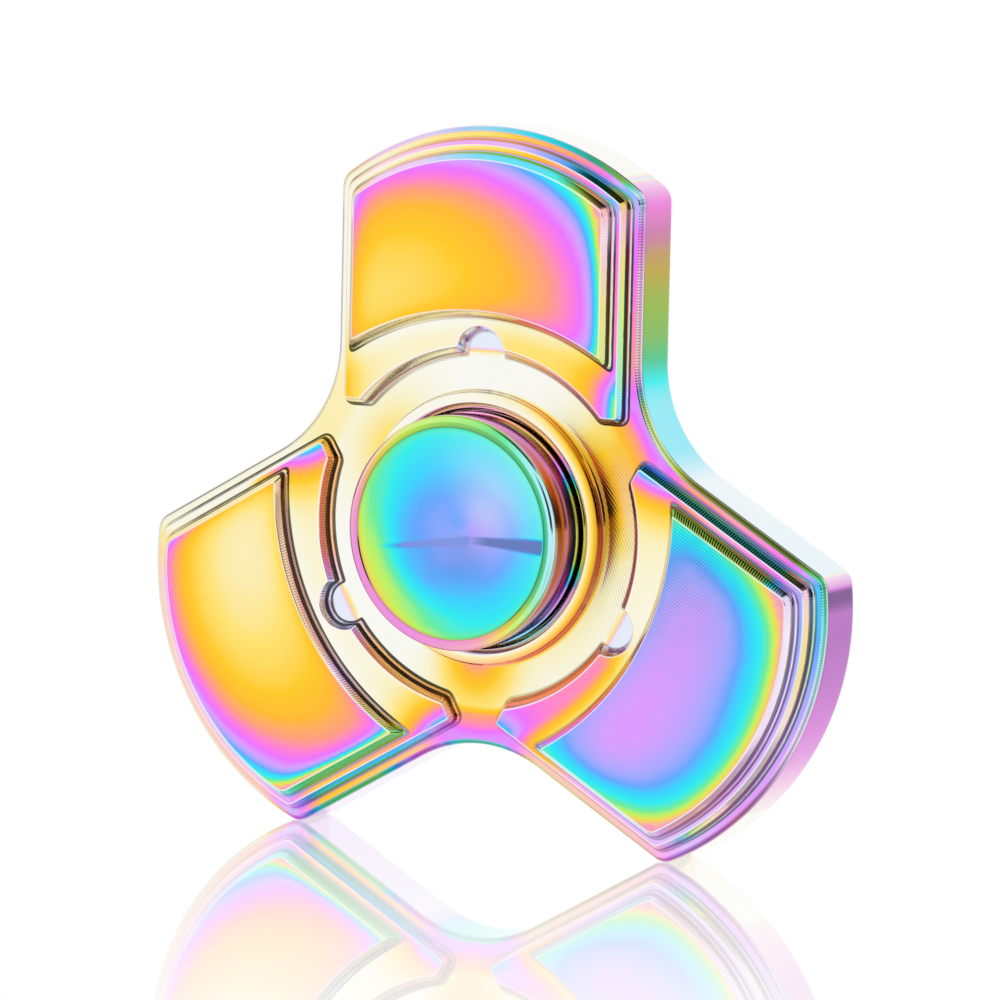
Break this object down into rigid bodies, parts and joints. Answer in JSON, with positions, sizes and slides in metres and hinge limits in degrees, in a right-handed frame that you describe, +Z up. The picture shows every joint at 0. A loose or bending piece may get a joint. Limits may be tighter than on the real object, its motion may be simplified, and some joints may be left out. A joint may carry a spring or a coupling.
{
  "type": "fidget spinner",
  "caption": "Flat metal fidget spinner with wide straight-sided lobes in raised steps, a collared hub, and dished finger caps that turn on a shielded ball bearing.",
  "frame": {"origin": "centre of the ball bearing, on the spin axis at mid thickness", "axes": "+Y along the spin axis towards the rear cap, so the front face looks along -Y; +Z up through the middle of the upper lobe; +X to the right as seen from the front"},
  "size_m": [0.0576, 0.015, 0.0538],
  "materials": {
    "coated_frame": "polished, with an iridescent interference coat",
    "coated_cap": "turned and polished, with an iridescent interference coat",
    "bearing_steel": "ground and polished",
    "ball_steel": "mirror polished",
    "cage_steel": "pressed sheet",
    "shield_steel": "rolled sheet",
    "wire_steel": "drawn wire"
  },
  "bodies": {
    "frame": {"frame": "coated_frame", "bearing_outer_ring": "bearing_steel", "shield_front": "shield_steel", "shield_wire_front": "wire_steel", "shield_rear": "shield_steel", "shield_wire_rear": "wire_steel"},
    "button_axle": {"front_cap": "coated_cap", "rear_cap": "coated_cap", "bearing_inner_ring": "bearing_steel"},
    "cage": {"ball_cage": "cage_steel"},
    "ball_01": {"ball_01": "ball_steel"},
    "ball_02": {"ball_02": "ball_steel"},
    "ball_03": {"ball_03": "ball_steel"},
    "ball_04": {"ball_04": "ball_steel"},
    "ball_05": {"ball_05": "ball_steel"},
    "ball_06": {"ball_06": "ball_steel"},
    "ball_07": {"ball_07": "ball_steel"},
    "ball_08": {"ball_08": "ball_steel"},
    "ball_09": {"ball_09": "ball_steel"},
    "ball_10": {"ball_10": "ball_steel"}
  },
  "joints": [
    {"name": "frame_spin", "type": "hinge", "parent": "frame", "child": "button_axle", "pos_m": [0, 0, 0], "axis": [0, 1, 0], "continuous": true},
    {"name": "cage_orbit", "type": "hinge", "parent": "frame", "child": "cage", "pos_m": [0, 0, 0], "axis": [0, 1, 0], "continuous": true},
    {"name": "ball_01_roll", "type": "hinge", "parent": "cage", "child": "ball_01", "pos_m": [0.00476, 0, 0], "axis": [0, 1, 0], "continuous": true},
    {"name": "ball_02_roll", "type": "hinge", "parent": "cage", "child": "ball_02", "pos_m": [0.00385, 0, -0.0028], "axis": [0, 1, 0], "continuous": true},
    {"name": "ball_03_roll", "type": "hinge", "parent": "cage", "child": "ball_03", "pos_m": [0.00147, 0, -0.00453], "axis": [0, 1, 0], "continuous": true},
    {"name": "ball_04_roll", "type": "hinge", "parent": "cage", "child": "ball_04", "pos_m": [-0.00147, 0, -0.00453], "axis": [0, 1, 0], "continuous": true},
    {"name": "ball_05_roll", "type": "hinge", "parent": "cage", "child": "ball_05", "pos_m": [-0.00385, 0, -0.0028], "axis": [0, 1, 0], "continuous": true},
    {"name": "ball_06_roll", "type": "hinge", "parent": "cage", "child": "ball_06", "pos_m": [-0.00476, 0, 0], "axis": [0, 1, 0], "continuous": true},
    {"name": "ball_07_roll", "type": "hinge", "parent": "cage", "child": "ball_07", "pos_m": [-0.00385, 0, 0.0028], "axis": [0, 1, 0], "continuous": true},
    {"name": "ball_08_roll", "type": "hinge", "parent": "cage", "child": "ball_08", "pos_m": [-0.00147, 0, 0.00453], "axis": [0, 1, 0], "continuous": true},
    {"name": "ball_09_roll", "type": "hinge", "parent": "cage", "child": "ball_09", "pos_m": [0.00147, 0, 0.00453], "axis": [0, 1, 0], "continuous": true},
    {"name": "ball_10_roll", "type": "hinge", "parent": "cage", "child": "ball_10", "pos_m": [0.00385, 0, 0.0028], "axis": [0, 1, 0], "continuous": true}
  ],
  "couplings": [
    {"joint": "cage_orbit", "follows": "frame_spin", "ratio": 0.39585},
    {"joint": "ball_01_roll", "follows": "frame_spin", "ratio": -2.2963},
    {"joint": "ball_02_roll", "follows": "frame_spin", "ratio": -2.2963},
    {"joint": "ball_03_roll", "follows": "frame_spin", "ratio": -2.2963},
    {"joint": "ball_04_roll", "follows": "frame_spin", "ratio": -2.2963},
    {"joint": "ball_05_roll", "follows": "frame_spin", "ratio": -2.2963},
    {"joint": "ball_06_roll", "follows": "frame_spin", "ratio": -2.2963},
    {"joint": "ball_07_roll", "follows": "frame_spin", "ratio": -2.2963},
    {"joint": "ball_08_roll", "follows": "frame_spin", "ratio": -2.2963},
    {"joint": "ball_09_roll", "follows": "frame_spin", "ratio": -2.2963},
    {"joint": "ball_10_roll", "follows": "frame_spin", "ratio": -2.2963}
  ]
}
